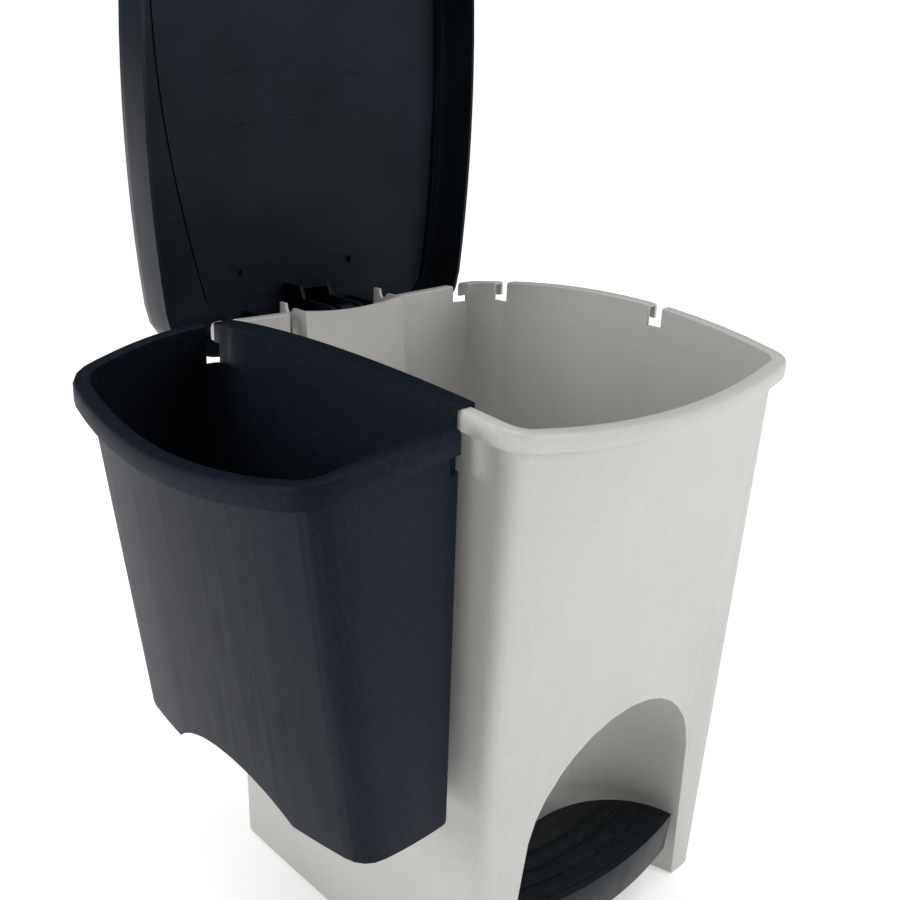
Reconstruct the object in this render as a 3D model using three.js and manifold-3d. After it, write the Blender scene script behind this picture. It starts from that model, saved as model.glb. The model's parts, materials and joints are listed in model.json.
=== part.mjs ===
// Double recycling bin: a moulded pedal bin with a hinged lid, and a small bucket
// that hangs by a hook on the bin's left rim. Millimetres, +Z up, pedal towards -Y.
// The bin is drawn as it stands in use: lid open on its stop, pedal pressed, bucket hung.

import * as THREE from 'three';
import { mergeVertices } from 'three/addons/utils/BufferGeometryUtils.js';
import Module from 'manifold-3d';

const wasm = await Module();
wasm.setup();

// ---------------------------------------------------------------- driving dimensions

const fit = 0.3; // gap between pieces that touch

// Bin body: wall faces at the rim corners, then how far each face leans in at the floor.
const rimHeight = 420;
const rimRiseSide = 13;
const rimRiseFront = -9.5;
const rimRiseBack = -6.5;
const rimDropFront = 1.5;
const bodyFront = 150;
const bodyBack = 145;
const bodyHalfFront = 127;
const bodyHalfBack = 125;
const bulgeSide = 12.5;
const bulgeFront = 12.4;
const bulgeBack = 16;
const leanFront = 21;
const leanBack = 10;
const leanSide = 4;
const footBulgeSide = 2.5;
const footBulgeFront = 2.7;
const footBulgeBack = 5;
const bodyCorner = 11;
const bodyWall = 2.6;
const lipReach = 8.2;
const lipDrop = 11.5;
const lipWall = 2.4;
const floorUnderside = 49;
const floorThickness = 3;

// Notches in the rim.
const notchDepth = 15.5;
const notchWidth = 13;
const notchBackX = 112;
const notchSideRearY = 113;
const notchSideMidY = -39;

// Pedal niche: a quarter dome pressed into the front wall.
const nicheHalfWidth = 87;
const nicheFootHalfWidth = 97;
const nicheSpring = 110;
const nicheHeight = 197;
const nicheDepth = 86;
const nicheInset = 10;

// Feet.
const padRadius = 8;
const padHeight = 1.8;
const padStemRadius = 3;
const padStemLength = 8;
const padInset = 17;
const footBossRadius = 11;

// Lid hinge and crank.
const hingeSetBack = 9;
const hingeDrop = 15.5;
const hingePinRadius = 3;
const hingeEyeRadius = 7.5;
const hingeBoreHalf = 60;
const crankRadius = 15;
const crankPinRadius = 2.5;
const crankEyeRadius = 6;
const openAngle = 90;

// Rod channel in the back wall, with slits beside it for the hinge lugs.
const channelHalfWidth = 45.5;
const channelRoom = 12.5;
const channelTopRise = 4.5;
const channelTopDip = 4;
const slitWidth = 7.5;
const slitDepth = 30;
const earRise = 21;
const earTabWidth = 6.5;

// Lid.
const lidClearance = 5;
const lidWall = 2.6;
const lidInsideHeight = 49;
const lidSkirtDepth = 38;
const lidBackReach = 8;
const lidBulgeBack = 14;
const lidFrontCorner = 24;
const lidBackCorner = 32;
const lidCrown = 5;
const lidPanelStep = 1.2;
const lidPanelBackHalf = 87;
const lidPanelFrontHalf = 124;
const lidPanelBackY = 152;
const lidPanelFrontY = -138;
const lidPanelShoulderY = 60;
const lidPanelKneeY = -90;
const lidPanelSwell = 24;
const lidPanelCorner = 36;
const lidRearArcY = 23;
const lidRearArcHalf = 60;
const lidRearArcCrest = 9;
const lidFrontArcY = -17;
const lidFrontArcHalf = 66;
const lidFrontArcCrest = 8;
const lidArcWidth = 3.5;
const lidMarkX = 54;
const lidMarkY = 132;
const lidMarkRadius = 3;
const lidRibInset = 7;
const lidRibWidth = 1.8;
const lidRibHeight = 5;
const lidLugThickness = 3.6;
const lidBoreHalf = 70;
const crankCheekHalfGap = 12;
const crankCheekThickness = 3;

// Push rod.
const rodRadius = 2.5;
const rodFootInset = 8;
const rodEyeHalfWidth = 6;
const rodNeckRadius = 5;
const rodNeckLength = 24;

// Pedal.
const pedalSwing = 13;
const pedalPivotZ = 27;
const pedalPinRadius = 3;
const pedalBossRadius = 8;
const pedalBossHalf = 24;
const pedalBoreHalf = 60;
const bracketThickness = 4;
const leverHalfWidth = 15;
const leverRib = 3;
const leverHalfDepth = 6;
const leverToeReach = 40;
const leverCarrierReach = 58;
const leverWingWidth = 36;
const leverWingReach = 36;
const forkPlay = 1;
const treadThickness = 3;
const treadLift = 54;
const treadSkirt = 30;
const treadSideGap = 3;
const treadBackGap = 18;
const treadFront = 128;
const treadFrontBulge = 10;
const treadRidgeHeight = 1.2;
const treadRidgeWidth = 2.4;
const treadRidgeCount = 4;
const treadRidgePitch = 13;
const treadRidgeMargin = 9;
const capRadius = 6;
const capThickness = 2.6;

// Hung bucket.
const bucketBase = 162;
const bucketRim = 408.5;
const bucketHalfLength = 122;
const bucketTopReach = 104;
const bucketBaseReach = 70;
const bucketBulge = 14;
const bucketBaseBulge = 12;
const bucketEndBulge = 2;
const bucketCorner = 15;
const bucketInnerCorner = 7;
const bucketWall = 2.4;
const bucketRimDip = -15;
const bucketRiseFront = 10;
const bucketRiseBack = 18.5;
const bucketLip = 8;
const bucketLipDrop = 14;
const bucketSlotWidth = 10.5;
const bucketSlotDepthFront = 19;
const bucketSlotDepthBack = 9.5;
const bucketArchHalf = 64;
const bucketArchRise = 23;
const hookThickness = 2.2;
const hookClearance = 0.5;
const hookLegThickness = 1.5;
const hookFrontY = -117;
const hookBackY = 130;
const hookLeg = 6;

// ---------------------------------------------------------------- geometry helpers

const degrees = THREE.MathUtils.degToRad;
const sideSteps = 12;
const cornerSteps = 4;
const roundSteps = 20;
const perSide = sideSteps + cornerSteps; // points on a side of an outline, with the corner after it

/** A manifold from vertices and triangles, turned outwards if it was built inside out. */
function solidFrom(points, triangles) {
  let volume = 0;
  for (const [a, b, c] of triangles) {
    volume += points[a].dot(new THREE.Vector3().crossVectors(points[b], points[c]));
  }
  const turned = volume < 0 ? triangles.map(([a, b, c]) => [a, c, b]) : triangles;
  const mesh = new wasm.Mesh({
    numProp: 3,
    vertProperties: Float32Array.from(points.flatMap((p) => p.toArray())),
    triVerts: Uint32Array.from(turned.flat()),
  });
  mesh.merge();
  return new wasm.Manifold(mesh);
}

/** A manifold from a closed three.js geometry. */
function solid(geometry) {
  const bare = new THREE.BufferGeometry();
  bare.setAttribute('position', geometry.getAttribute('position'));
  if (geometry.index) bare.setIndex(geometry.index);
  const merged = mergeVertices(bare, 1e-4);
  const position = merged.getAttribute('position');
  const index = merged.index.array;
  const points = [];
  for (let i = 0; i < position.count; i += 1) {
    points.push(new THREE.Vector3().fromBufferAttribute(position, i));
  }
  const triangles = [];
  for (let i = 0; i < index.length; i += 3) {
    const [a, b, c] = [index[i], index[i + 1], index[i + 2]];
    if (a !== b && b !== c && c !== a) triangles.push([a, b, c]);
  }
  return solidFrom(points, triangles);
}

/** Skins closed sections in order; the ends are joined up or capped by the last argument. */
function loft(sections, capOutline = null) {
  const count = sections[0].length;
  const points = sections.flat();
  const triangles = [];
  const spans = capOutline ? sections.length - 1 : sections.length;
  for (let i = 0; i < spans; i += 1) {
    const here = i * count;
    const next = ((i + 1) % sections.length) * count;
    for (let j = 0; j < count; j += 1) {
      const k = (j + 1) % count;
      triangles.push([here + j, here + k, next + k], [here + j, next + k, next + j]);
    }
  }
  if (capOutline) {
    const last = (sections.length - 1) * count;
    for (const [a, b, c] of THREE.ShapeUtils.triangulateShape(capOutline, [])) {
      triangles.push([a, c, b], [last + a, last + b, last + c]);
    }
  }
  return solidFrom(points, triangles);
}

const flat = (ring) => ring.map((p) => new THREE.Vector2(p.x, p.y));

function box(x0, x1, y0, y1, z0, z1) {
  const geometry = new THREE.BoxGeometry(x1 - x0, y1 - y0, z1 - z0);
  geometry.translate((x0 + x1) / 2, (y0 + y1) / 2, (z0 + z1) / 2);
  return solid(geometry);
}

/** A cylinder along X. */
function rodX(radius, x0, x1, y, z, segments = roundSteps) {
  const geometry = new THREE.CylinderGeometry(radius, radius, x1 - x0, segments);
  geometry.rotateZ(Math.PI / 2);
  geometry.translate((x0 + x1) / 2, y, z);
  return solid(geometry);
}

/** A cylinder along Z. */
function rodZ(radius, x, y, z0, z1, segments = roundSteps) {
  const geometry = new THREE.CylinderGeometry(radius, radius, z1 - z0, segments);
  geometry.rotateX(Math.PI / 2);
  geometry.translate(x, y, (z0 + z1) / 2);
  return solid(geometry);
}

/** A shape drawn in the (y, z) plane, extruded along X. */
function prismX(shape, x0, x1, curveSegments = 16) {
  const geometry = new THREE.ExtrudeGeometry(shape, { depth: x1 - x0, bevelEnabled: false, curveSegments });
  const turn = new THREE.Matrix4().makeBasis(
    new THREE.Vector3(0, 1, 0), new THREE.Vector3(0, 0, 1), new THREE.Vector3(1, 0, 0));
  geometry.applyMatrix4(turn);
  geometry.translate(x0, 0, 0);
  return solid(geometry);
}

/** A shape drawn in the (x, z) plane, extruded along Y. */
function prismY(shape, y0, y1, curveSegments = 16) {
  const geometry = new THREE.ExtrudeGeometry(shape, { depth: y1 - y0, bevelEnabled: false, curveSegments });
  geometry.rotateX(Math.PI / 2);
  geometry.translate(0, y1, 0);
  return solid(geometry);
}

/** A shape drawn in the (x, y) plane, extruded along Z. */
function prismZ(shape, z0, z1, curveSegments = 16) {
  const geometry = new THREE.ExtrudeGeometry(shape, { depth: z1 - z0, bevelEnabled: false, curveSegments });
  geometry.translate(0, 0, z0);
  return solid(geometry);
}

const polygon = (pairs) => new THREE.Shape(pairs.map(([u, v]) => new THREE.Vector2(u, v)));

/** Copies of a solid on both sides of the x = 0 plane. */
const bothSides = (piece) => piece.add(piece.mirror([1, 0, 0]));

/**
 * A four-sided outline with swollen sides and rounded corners, counter-clockwise from the
 * front left corner. rise gives each side's edge height along it, kept in the points' z.
 */
function swollenOutline({ corners, bulge, rise, radius }) {
  const length = (k) => corners[k].distanceTo(corners[(k + 1) % 4]);
  const side = (k, u) => {
    const start = corners[k];
    const along = new THREE.Vector2().subVectors(corners[(k + 1) % 4], start);
    const out = new THREE.Vector2(along.y, -along.x).normalize();
    const swell = 4 * u * (1 - u);
    const p = start.clone().addScaledVector(along, u).addScaledVector(out, bulge[k] * swell);
    return new THREE.Vector3(p.x, p.y, rise[k](u));
  };
  const points = [];
  for (let k = 0; k < 4; k += 1) {
    const next = (k + 1) % 4;
    const from = radius[k] / length(k);
    const to = 1 - radius[next] / length(k);
    for (let i = 0; i <= sideSteps; i += 1) {
      points.push(side(k, from + ((to - from) * i) / sideSteps));
    }
    const enter = side(k, to);
    const leave = side(next, radius[next] / length(next));
    const knee = tangentKnee(enter, side(k, to - 0.01), leave, side(next, radius[next] / length(next) + 0.01));
    for (let i = 1; i < cornerSteps; i += 1) {
      const t = i / cornerSteps;
      points.push(new THREE.Vector3()
        .addScaledVector(enter, (1 - t) ** 2)
        .addScaledVector(knee, 2 * t * (1 - t))
        .addScaledVector(leave, t ** 2));
    }
  }
  return points;
}

/** Edge heights along a side: from one end's height to the other's, plus an arch. */
const arched = (height, from = 0, to = 0) => (u) => THREE.MathUtils.lerp(from, to, u) + 4 * height * u * (1 - u);
const level = arched(0);

/** Where the line through a and b meets the line through c and d, at their mean height. */
function tangentKnee(a, b, c, d) {
  const r = new THREE.Vector2(a.x - b.x, a.y - b.y);
  const s = new THREE.Vector2(d.x - c.x, d.y - c.y);
  const t = ((c.x - a.x) * s.y - (c.y - a.y) * s.x) / (r.x * s.y - r.y * s.x);
  return new THREE.Vector3(a.x + r.x * t, a.y + r.y * t, (a.z + c.z) / 2);
}

function outwardNormals(outline) {
  const count = outline.length;
  return outline.map((_, j) => {
    const before = outline[(j + count - 1) % count];
    const after = outline[(j + 1) % count];
    return new THREE.Vector2(after.y - before.y, before.x - after.x).normalize();
  });
}

/** A leaning tub between a foot outline at baseZ and a rim outline at topZ plus its rise. */
function tub({ rim, foot, baseZ, topZ }) {
  const normals = outwardNormals(rim);
  return (heightOf, offset) => rim.map((r, j) => {
    const top = topZ + r.z;
    const z = heightOf(top, r);
    const t = (z - baseZ) / (top - baseZ);
    const x = THREE.MathUtils.lerp(foot[j].x, r.x, t) + normals[j].x * offset;
    const y = THREE.MathUtils.lerp(foot[j].y, r.y, t) + normals[j].y * offset;
    return new THREE.Vector3(x, y, z);
  });
}

// ---------------------------------------------------------------- bin body

const corner = (x, y) => new THREE.Vector2(x, y);
const rimCorners = [
  corner(-bodyHalfFront, -bodyFront), corner(bodyHalfFront, -bodyFront),
  corner(bodyHalfBack, bodyBack), corner(-bodyHalfBack, bodyBack),
];
const bodyRim = swollenOutline({
  corners: rimCorners,
  bulge: [bulgeFront, bulgeSide, bulgeBack, bulgeSide],
  rise: [
    arched(rimRiseFront, -rimDropFront, -rimDropFront), arched(rimRiseSide, -rimDropFront, 0),
    arched(rimRiseBack), arched(rimRiseSide, 0, -rimDropFront),
  ],
  radius: [bodyCorner, bodyCorner, bodyCorner, bodyCorner],
});
const bodyFoot = swollenOutline({
  corners: [
    corner(-bodyHalfFront + leanSide, -bodyFront + leanFront),
    corner(bodyHalfFront - leanSide, -bodyFront + leanFront),
    corner(bodyHalfBack - leanSide, bodyBack - leanBack),
    corner(-bodyHalfBack + leanSide, bodyBack - leanBack),
  ],
  bulge: [footBulgeFront, footBulgeSide, footBulgeBack, footBulgeSide],
  rise: [level, level, level, level],
  radius: [bodyCorner, bodyCorner, bodyCorner, bodyCorner],
});
const bodyBase = padHeight;
const bodyRing = tub({ rim: bodyRim, foot: bodyFoot, baseZ: bodyBase, topZ: rimHeight });

/** The body's left wall face and rim height at a given y. */
function leftRim(y) {
  const u = (bodyBack - y) / (bodyBack + bodyFront);
  const swell = 4 * u * (1 - u);
  const half = THREE.MathUtils.lerp(bodyHalfBack, bodyHalfFront, u) + bulgeSide * swell;
  return { x: -half, top: rimHeight + arched(rimRiseSide, 0, -rimDropFront)(u) };
}

const hingeY = bodyBack + bulgeBack + hingeSetBack;
const hingeZ = rimHeight + rimRiseBack - hingeDrop;
const channelTop = rimHeight + rimRiseBack + channelTopRise;

/** The back wall's outer face on the centre line at height z. */
function backWallY(z) {
  const rimY = bodyBack + bulgeBack;
  const footY = bodyBack - leanBack + footBulgeBack;
  return THREE.MathUtils.mapLinear(z, bodyBase, rimHeight + rimRiseBack, footY, rimY);
}

// Crank pin and rod foot with the lid open, and the pedal pivot that they call for.
const crankTurn = degrees(openAngle / 2);
const pedalTilt = degrees(pedalSwing / 2);
const crankOpen = {
  y: hingeY - crankRadius * Math.cos(crankTurn),
  z: hingeZ + crankRadius * Math.sin(crankTurn),
};
const leverRear = (crankRadius * Math.sin(crankTurn)) / Math.sin(pedalTilt);
const rodFoot = { z: pedalPivotZ + leverRear * Math.sin(pedalTilt) };
rodFoot.y = backWallY(rodFoot.z) - rodFootInset;
const pedalPivotY = rodFoot.y - leverRear * Math.cos(pedalTilt);
const rodSlope = (crankOpen.y - rodFoot.y) / (crankOpen.z - rodFoot.z);
const rodY = (z) => rodFoot.y + (z - rodFoot.z) * rodSlope;
const panelBackY = (z) => rodY(z) - channelRoom;
const panelFrontY = (z) => panelBackY(z) - bodyWall;
const nicheY = -bodyFront + nicheInset;
const aboveRim = rimHeight + rimRiseSide + lidSkirtDepth;
const behindHinge = hingeY + 2 * lidBackReach;

function bodyFilled(offset) {
  const low = bodyRing(() => bodyBase, offset);
  const high = bodyRing((top) => top - lipWall, offset);
  return loft([low, high], flat(low));
}

function bodyWalls() {
  const flangeInner = lipReach - lipWall;
  return loft([
    bodyRing(() => bodyBase, 0),
    bodyRing((top) => top - lipWall, 0),
    bodyRing((top) => top - lipWall, flangeInner),
    bodyRing((top) => top - lipDrop, flangeInner),
    bodyRing((top) => top - lipDrop, lipReach),
    bodyRing((top) => top - 3.2, lipReach),
    bodyRing((top) => top - 1, lipReach - 0.9),
    bodyRing((top) => top, lipReach - 3),
    bodyRing((top) => top, 1 - bodyWall),
    bodyRing((top) => top - 1, -bodyWall),
    bodyRing(() => bodyBase, -bodyWall),
  ]);
}

function bodyFloor() {
  const low = bodyRing(() => floorUnderside, -bodyWall / 2);
  const high = bodyRing(() => floorUnderside + floorThickness, -bodyWall / 2);
  return loft([low, high], flat(low));
}

/** The niche's dome, grown by a wall thickness for its outside. */
function nicheDome(grow) {
  const levels = 8;
  const around = 36;
  const section = (z, wide, deep) => Array.from({ length: around }, (_, i) => {
    const angle = (2 * Math.PI * i) / around;
    return new THREE.Vector3(wide * Math.cos(angle), nicheY + deep * Math.sin(angle), z);
  });
  const sections = [
    section(bodyBase - 1, nicheFootHalfWidth + grow, nicheDepth + grow),
    section(nicheSpring, nicheHalfWidth + grow, nicheDepth + grow),
  ];
  const domeHeight = nicheHeight - nicheSpring + grow;
  for (let i = 1; i <= levels; i += 1) {
    const turn = (i / levels) * degrees(87);
    sections.push(section(
      nicheSpring + domeHeight * Math.sin(turn),
      (nicheHalfWidth + grow) * Math.cos(turn),
      (nicheDepth + grow) * Math.cos(turn)));
  }
  return loft(sections, flat(sections[0]));
}

/** Inner panel and side walls of the rod channel, with the ears that carry the lid. */
function channelWalls() {
  const outerHalf = channelHalfWidth + bodyWall;
  const low = bodyBase;
  const high = channelTop + 10;
  const panel = prismX(polygon([
    [panelFrontY(low), low], [panelBackY(low), low],
    [panelBackY(high), high], [panelFrontY(high), high],
  ]), -outerHalf, outerHalf);
  const top = polygon([[-outerHalf - 1, low - 1], [outerHalf + 1, low - 1], [outerHalf + 1, channelTop]]);
  top.quadraticCurveTo(0, channelTop - 2 * channelTopDip, -outerHalf - 1, channelTop);
  const wall = prismX(polygon([
    [panelFrontY(low), low], [backWallY(low) + 3, low],
    [backWallY(channelTop) + 3, channelTop], [panelFrontY(channelTop), channelTop],
  ]), channelHalfWidth, outerHalf).intersect(bodyFilled(-bodyWall / 2));
  return panel.intersect(prismY(top, 0, bodyBack + bulgeBack)).add(bothSides(wall)).add(bothSides(hingeEar()));
}

/** The plate that carries a hinge pin, with an upright tab at its rear end. */
function hingeEar() {
  const radius = hingeEyeRadius + 1;
  const bottom = rimHeight + rimRiseBack - slitDepth + 2;
  const top = channelTop - 1;
  const shape = new THREE.Shape();
  shape.moveTo(panelFrontY(bottom) + 1, bottom);
  shape.lineTo(hingeY, hingeZ - radius);
  shape.absarc(hingeY, hingeZ, radius, -Math.PI / 2, 0, false);
  shape.lineTo(hingeY + radius, hingeZ + earRise);
  shape.lineTo(hingeY + radius - earTabWidth, hingeZ + earRise);
  shape.quadraticCurveTo(hingeY, hingeZ + radius, hingeY - radius, top);
  shape.lineTo(panelFrontY(channelTop) + 1, top);
  return prismX(shape, channelHalfWidth, channelHalfWidth + bodyWall);
}

function pedalBracket() {
  const shape = new THREE.Shape();
  shape.moveTo(pedalPivotY + 2 * pedalBossRadius, floorUnderside + 1);
  shape.lineTo(pedalPivotY - 2 * pedalBossRadius, floorUnderside + 1);
  shape.lineTo(pedalPivotY - pedalBossRadius, pedalPivotZ);
  shape.absarc(pedalPivotY, pedalPivotZ, pedalBossRadius, Math.PI, 2 * Math.PI, false);
  const inner = pedalBossHalf + 1;
  return prismX(shape, inner, inner + bracketThickness);
}

function footPlaces() {
  const front = -bodyFront + leanFront + padInset;
  const back = bodyBack - leanBack - padInset;
  const halfFront = bodyHalfFront - leanSide - padInset;
  const halfBack = bodyHalfBack - leanSide - padInset;
  return {
    front_left: [-halfFront, front], front_right: [halfFront, front],
    back_left: [-halfBack, back], back_right: [halfBack, back],
  };
}

function rimNotches() {
  const half = notchWidth / 2;
  const reach = 40;
  const rearTop = leftRim(notchSideRearY);
  const midTop = leftRim(notchSideMidY);
  const back = box(notchBackX - half, notchBackX + half, bodyBack - reach, bodyBack + reach,
    rimHeight - notchDepth, aboveRim);
  const sideNotch = (y, rim) => box(-rim.x - reach, -rim.x + reach, y - half, y + half,
    rim.top - notchDepth, aboveRim);
  return bothSides(back.add(sideNotch(notchSideRearY, rearTop)).add(sideNotch(notchSideMidY, midTop)));
}

function bodySolid() {
  const inside = bodyFilled(-bodyWall / 2);
  const outerHalf = channelHalfWidth + bodyWall;
  const slitLow = rimHeight + rimRiseBack - slitDepth;
  const recess = prismX(polygon([
    [panelBackY(bodyBase - 1), bodyBase - 1], [behindHinge, bodyBase - 1],
    [behindHinge, aboveRim], [panelBackY(aboveRim), aboveRim],
  ]), -channelHalfWidth, channelHalfWidth);
  const gapBesideEar = box(channelHalfWidth, outerHalf, backWallY(slitLow) + 3, behindHinge, bodyBase, slitLow);
  const slit = box(outerHalf, outerHalf + slitWidth, panelBackY(slitLow) - 6, behindHinge, slitLow, aboveRim);
  const lipBesideEar = box(channelHalfWidth, outerHalf, backWallY(slitLow) - 4, behindHinge, slitLow, aboveRim);
  const leverGate = box(-leverHalfWidth - 4, leverHalfWidth + 4, nicheY + nicheDepth / 2, hingeY,
    bodyBase - 1, floorUnderside - 2);
  let body = bodyWalls().add(bodyFloor()).add(nicheDome(bodyWall).intersect(inside));
  body = body.subtract(nicheDome(0)).subtract(recess).subtract(bothSides(lipBesideEar));
  body = body.add(channelWalls()).subtract(bothSides(slit)).subtract(bothSides(gapBesideEar));
  body = body.subtract(leverGate).add(bothSides(pedalBracket()));
  body = body.subtract(rodX(pedalPinRadius + fit, -pedalBoreHalf, pedalBoreHalf, pedalPivotY, pedalPivotZ));
  body = body.subtract(rodX(hingePinRadius + fit, -hingeBoreHalf, hingeBoreHalf, hingeY, hingeZ));
  for (const [x, y] of Object.values(footPlaces())) {
    body = body.add(rodZ(footBossRadius, x, y, bodyBase, floorUnderside + 1).intersect(inside));
    body = body.subtract(rodZ(padStemRadius + fit, x, y, bodyBase - 1, bodyBase + padStemLength + fit));
  }
  return body.subtract(rimNotches());
}

function footPad(x, y) {
  const profile = [
    [0, 0], [padRadius - 0.6, 0], [padRadius, 0.6], [padRadius, padHeight - fit],
    [padStemRadius, padHeight - fit], [padStemRadius, bodyBase + padStemLength], [0, bodyBase + padStemLength],
  ];
  const geometry = new THREE.LatheGeometry(profile.map(([r, z]) => new THREE.Vector2(r, z)), roundSteps);
  geometry.rotateX(Math.PI / 2);
  geometry.translate(x, y, 0);
  return solid(geometry);
}

// ---------------------------------------------------------------- lid, drawn closed about its hinge

const lidGap = lipReach + lidClearance + lidWall;
const lidRim = swollenOutline({
  corners: [
    corner(-bodyHalfFront - lidGap, -bodyFront - lidGap), corner(bodyHalfFront + lidGap, -bodyFront - lidGap),
    corner(bodyHalfBack + lidGap, hingeY + lidBackReach), corner(-bodyHalfBack - lidGap, hingeY + lidBackReach),
  ],
  bulge: [bulgeFront, bulgeSide, lidBulgeBack, bulgeSide],
  rise: [arched(rimRiseFront), level, level, level],
  radius: [lidFrontCorner, lidFrontCorner, lidBackCorner, lidBackCorner],
});
const lidNormals = outwardNormals(lidRim);
const lidUnderside = hingeZ + lidInsideHeight;
const lidEdge = lidUnderside - lidSkirtDepth;

/** A ring of the lid at height z, moved in by inset and then shrunk towards the middle. */
function lidRing(z, inset, shrink = 1, followRise = 0) {
  const middleY = (hingeY + lidBackReach - bodyFront - lidGap) / 2;
  return lidRim.map((p, j) => new THREE.Vector3(
    (p.x - lidNormals[j].x * inset) * shrink,
    middleY + (p.y - lidNormals[j].y * inset - middleY) * shrink,
    z + p.z * followRise));
}

/** The lid's form as a filled block: wall is how far in from the outer face it lies. */
function lidBlock(wall, plateZ, edgeZ) {
  const rings = [
    lidRing(edgeZ, wall, 1, 1),
    lidRing(plateZ - 14, wall + 0.8),
    lidRing(plateZ - 5, wall + 2.6),
    lidRing(plateZ - 1.4, wall + 5.6),
    lidRing(plateZ, wall + 11),
    lidRing(plateZ + lidCrown * 0.45, wall + 11, 0.8),
    lidRing(plateZ + lidCrown * 0.8, wall + 11, 0.55),
    lidRing(plateZ + lidCrown, wall + 11, 0.3),
  ];
  return loft(rings, flat(rings[0]));
}

/** The slightly proud middle panel of the underside: it narrows towards the hinge. */
function lidPanelShape() {
  const shape = new THREE.Shape();
  const cornerX = lidPanelFrontHalf - lidPanelCorner;
  const shoulder = lidPanelBackHalf + lidPanelSwell;
  shape.moveTo(-lidPanelBackHalf, lidPanelBackY);
  shape.bezierCurveTo(-shoulder, lidPanelShoulderY, -lidPanelFrontHalf, 0, -lidPanelFrontHalf, lidPanelKneeY);
  shape.quadraticCurveTo(-lidPanelFrontHalf, lidPanelFrontY, -cornerX, lidPanelFrontY);
  shape.lineTo(cornerX, lidPanelFrontY);
  shape.quadraticCurveTo(lidPanelFrontHalf, lidPanelFrontY, lidPanelFrontHalf, lidPanelKneeY);
  shape.bezierCurveTo(lidPanelFrontHalf, 0, shoulder, lidPanelShoulderY, lidPanelBackHalf, lidPanelBackY);
  return shape;
}

/** A shallow crescent across the underside, bowed towards the front edge. */
function lidArcShape(y, half, crest) {
  const shape = new THREE.Shape();
  shape.moveTo(-half, y);
  shape.quadraticCurveTo(0, y - 2 * crest, half, y);
  shape.quadraticCurveTo(0, y - 2 * (crest - lidArcWidth), -half, y);
  return shape;
}

function lidLug() {
  const middle = channelHalfWidth + bodyWall + slitWidth / 2;
  const shape = new THREE.Shape();
  shape.moveTo(hingeY + lidBackReach + 4, lidUnderside + 1.5);
  shape.lineTo(hingeY - hingeEyeRadius, lidUnderside + 1.5);
  shape.lineTo(hingeY - hingeEyeRadius, hingeZ);
  shape.absarc(hingeY, hingeZ, hingeEyeRadius, Math.PI, 2 * Math.PI, false);
  return prismX(shape, middle - lidLugThickness / 2, middle + lidLugThickness / 2);
}

/** The two cheeks and web that take the crank pin; it stands clear of the channel's top. */
function crankBracket() {
  const pin = { y: crankOpen.y, z: 2 * hingeZ - crankOpen.z };
  const webY = hingeY - 26;
  const shoulder = channelTop + 8;
  const outer = crankCheekHalfGap + crankCheekThickness;
  const top = lidUnderside + 1.5;
  const shape = new THREE.Shape();
  shape.moveTo(pin.y + crankEyeRadius, top);
  shape.lineTo(webY, top);
  shape.lineTo(webY, shoulder);
  shape.lineTo(pin.y - crankEyeRadius, shoulder - 4);
  shape.lineTo(pin.y - crankEyeRadius, pin.z);
  shape.absarc(pin.y, pin.z, crankEyeRadius, Math.PI, 2 * Math.PI, false);
  const cheek = prismX(shape, crankCheekHalfGap, outer);
  const web = box(-outer, outer, webY, webY + 2.4, shoulder, top);
  return bothSides(cheek).add(web).subtract(rodX(crankPinRadius + fit, -outer - 1, outer + 1, pin.y, pin.z));
}

function lidSolid() {
  const hollow = lidBlock(lidWall, lidUnderside, lidEdge - 1);
  const lowered = (drop) => hollow.translate([0, 0, -drop]);
  const proud = (shape, step) => prismZ(shape, lidUnderside - 12, lidUnderside + 12, 12)
    .intersect(hollow.translate([0, 0, 0.4])).subtract(lowered(step));
  const rib = loft([
    lidRing(lidUnderside + 1, lidWall + lidRibInset),
    lidRing(lidUnderside + 1, lidWall + lidRibInset + lidRibWidth),
    lidRing(lidUnderside - lidRibHeight, lidWall + lidRibInset + lidRibWidth),
    lidRing(lidUnderside - lidRibHeight, lidWall + lidRibInset),
  ]);
  const markLow = lidUnderside - lidPanelStep - 0.8;
  const mark = rodZ(lidMarkRadius, lidMarkX, lidMarkY, markLow, lidUnderside + 0.6 * lidWall, 12);
  return lidBlock(0, lidUnderside + lidWall, lidEdge)
    .subtract(hollow)
    .add(proud(lidPanelShape(), lidPanelStep))
    .add(proud(lidArcShape(lidRearArcY, lidRearArcHalf, lidRearArcCrest), lidPanelStep + 1))
    .add(proud(lidArcShape(lidFrontArcY, lidFrontArcHalf, lidFrontArcCrest), lidPanelStep + 1))
    .add(rib)
    .add(bothSides(mark))
    .add(bothSides(lidLug()))
    .subtract(rodX(hingePinRadius + fit, -lidBoreHalf, lidBoreHalf, hingeY, hingeZ))
    .add(crankBracket());
}

function hingePin() {
  const inner = channelHalfWidth - fit - 1.5;
  const end = channelHalfWidth + bodyWall + slitWidth;
  return rodX(hingePinRadius, inner, end - 0.5, hingeY, hingeZ)
    .add(rodX(hingePinRadius + 2, inner, inner + 1.5, hingeY, hingeZ));
}

// ---------------------------------------------------------------- push rod

const rodLength = Math.hypot(crankOpen.y - rodFoot.y, crankOpen.z - rodFoot.z);
const rodSeat = 8;

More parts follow.
